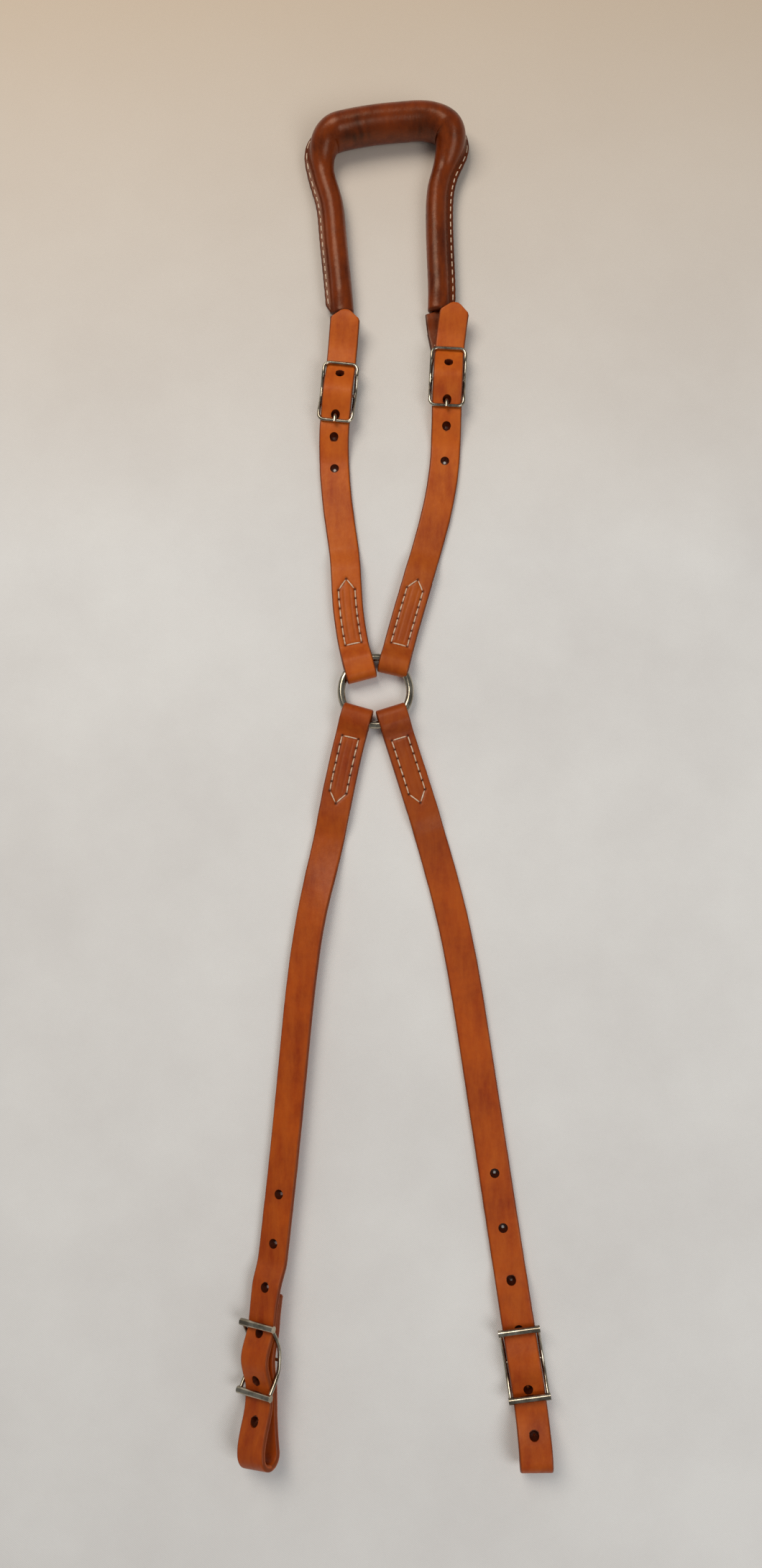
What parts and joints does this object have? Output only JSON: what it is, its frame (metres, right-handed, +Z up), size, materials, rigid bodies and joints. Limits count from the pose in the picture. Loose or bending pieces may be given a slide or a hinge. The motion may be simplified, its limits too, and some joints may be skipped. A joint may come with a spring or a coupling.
{
  "type": "martingale",
  "caption": "Riding martingale: rolled leather noseband, buckled upper straps, a metal ring and long lower straps with end loops held by Conway buckles.",
  "frame": {"origin": "middle of the footprint of the martingale laid flat, on the surface it lies on", "axes": "+Y from the end loops to the noseband, +X to the right seen from above, +Z up"},
  "size_m": [0.1529, 0.7099, 0.0241],
  "materials": {
    "dark_leather": "waxed, dark reddish brown",
    "tan_leather": "smooth bridle leather, orange tan",
    "brown_leather": "smooth bridle leather, orange brown",
    "core_cord": "twisted cord",
    "thread": "waxed cream thread",
    "nickel": "polished nickel plate"
  },
  "bodies": {
    "upper_loop": {"upper_left_strap": "tan_leather", "upper_right_strap": "tan_leather", "upper_left_thread": "thread", "upper_right_thread": "thread", "left_buckle_frame": "nickel", "left_buckle_bar": "nickel", "right_buckle_frame": "nickel", "right_buckle_bar": "nickel"},
    "noseband": {"noseband_cover": "dark_leather", "noseband_core": "core_cord", "noseband_thread": "thread", "left_chape": "dark_leather", "right_chape": "dark_leather", "left_chape_thread": "thread", "right_chape_thread": "thread"},
    "left_tongue": {"left_buckle_tongue": "nickel"},
    "right_tongue": {"right_buckle_tongue": "nickel"},
    "ring": {"centre_ring": "nickel"},
    "lower_left": {"lower_left_strap": "brown_leather", "lower_left_thread": "thread", "left_conway_frame": "nickel", "left_conway_stud": "nickel"},
    "lower_right": {"lower_right_strap": "brown_leather", "lower_right_thread": "thread", "right_conway_frame": "nickel", "right_conway_stud": "nickel"}
  },
  "joints": [
    {"name": "noseband_fold", "type": "hinge", "parent": "upper_loop", "child": "noseband", "pos_m": [-0.0299, 0.1909, 0.00492], "axis": [0.9897, 0.1431, 0], "range_deg": [-35, 0]},
    {"name": "left_tongue_lift", "type": "hinge", "parent": "upper_loop", "child": "left_tongue", "pos_m": [-0.0299, 0.1909, 0.00492], "axis": [-0.9945, 0.1046, 0], "range_deg": [0, 6]},
    {"name": "right_tongue_lift", "type": "hinge", "parent": "upper_loop", "child": "right_tongue", "pos_m": [0.0289, 0.1994, 0.00492], "axis": [-0.9987, 0.0507, 0], "range_deg": [0, 6]},
    {"name": "ring_turn", "type": "hinge", "parent": "upper_loop", "child": "ring", "pos_m": [-0.0097, 0.0284, 0.00512], "axis": [0, 0, 1], "continuous": true},
    {"name": "lower_left_swing", "type": "hinge", "parent": "upper_loop", "child": "lower_left", "pos_m": [-0.0097, 0.0284, 0.00512], "axis": [0, 0, -1], "range_deg": [0, 38]},
    {"name": "lower_right_swing", "type": "hinge", "parent": "upper_loop", "child": "lower_right", "pos_m": [-0.0097, 0.0284, 0.00512], "axis": [0, 0, 1], "range_deg": [0, 44]}
  ]
}
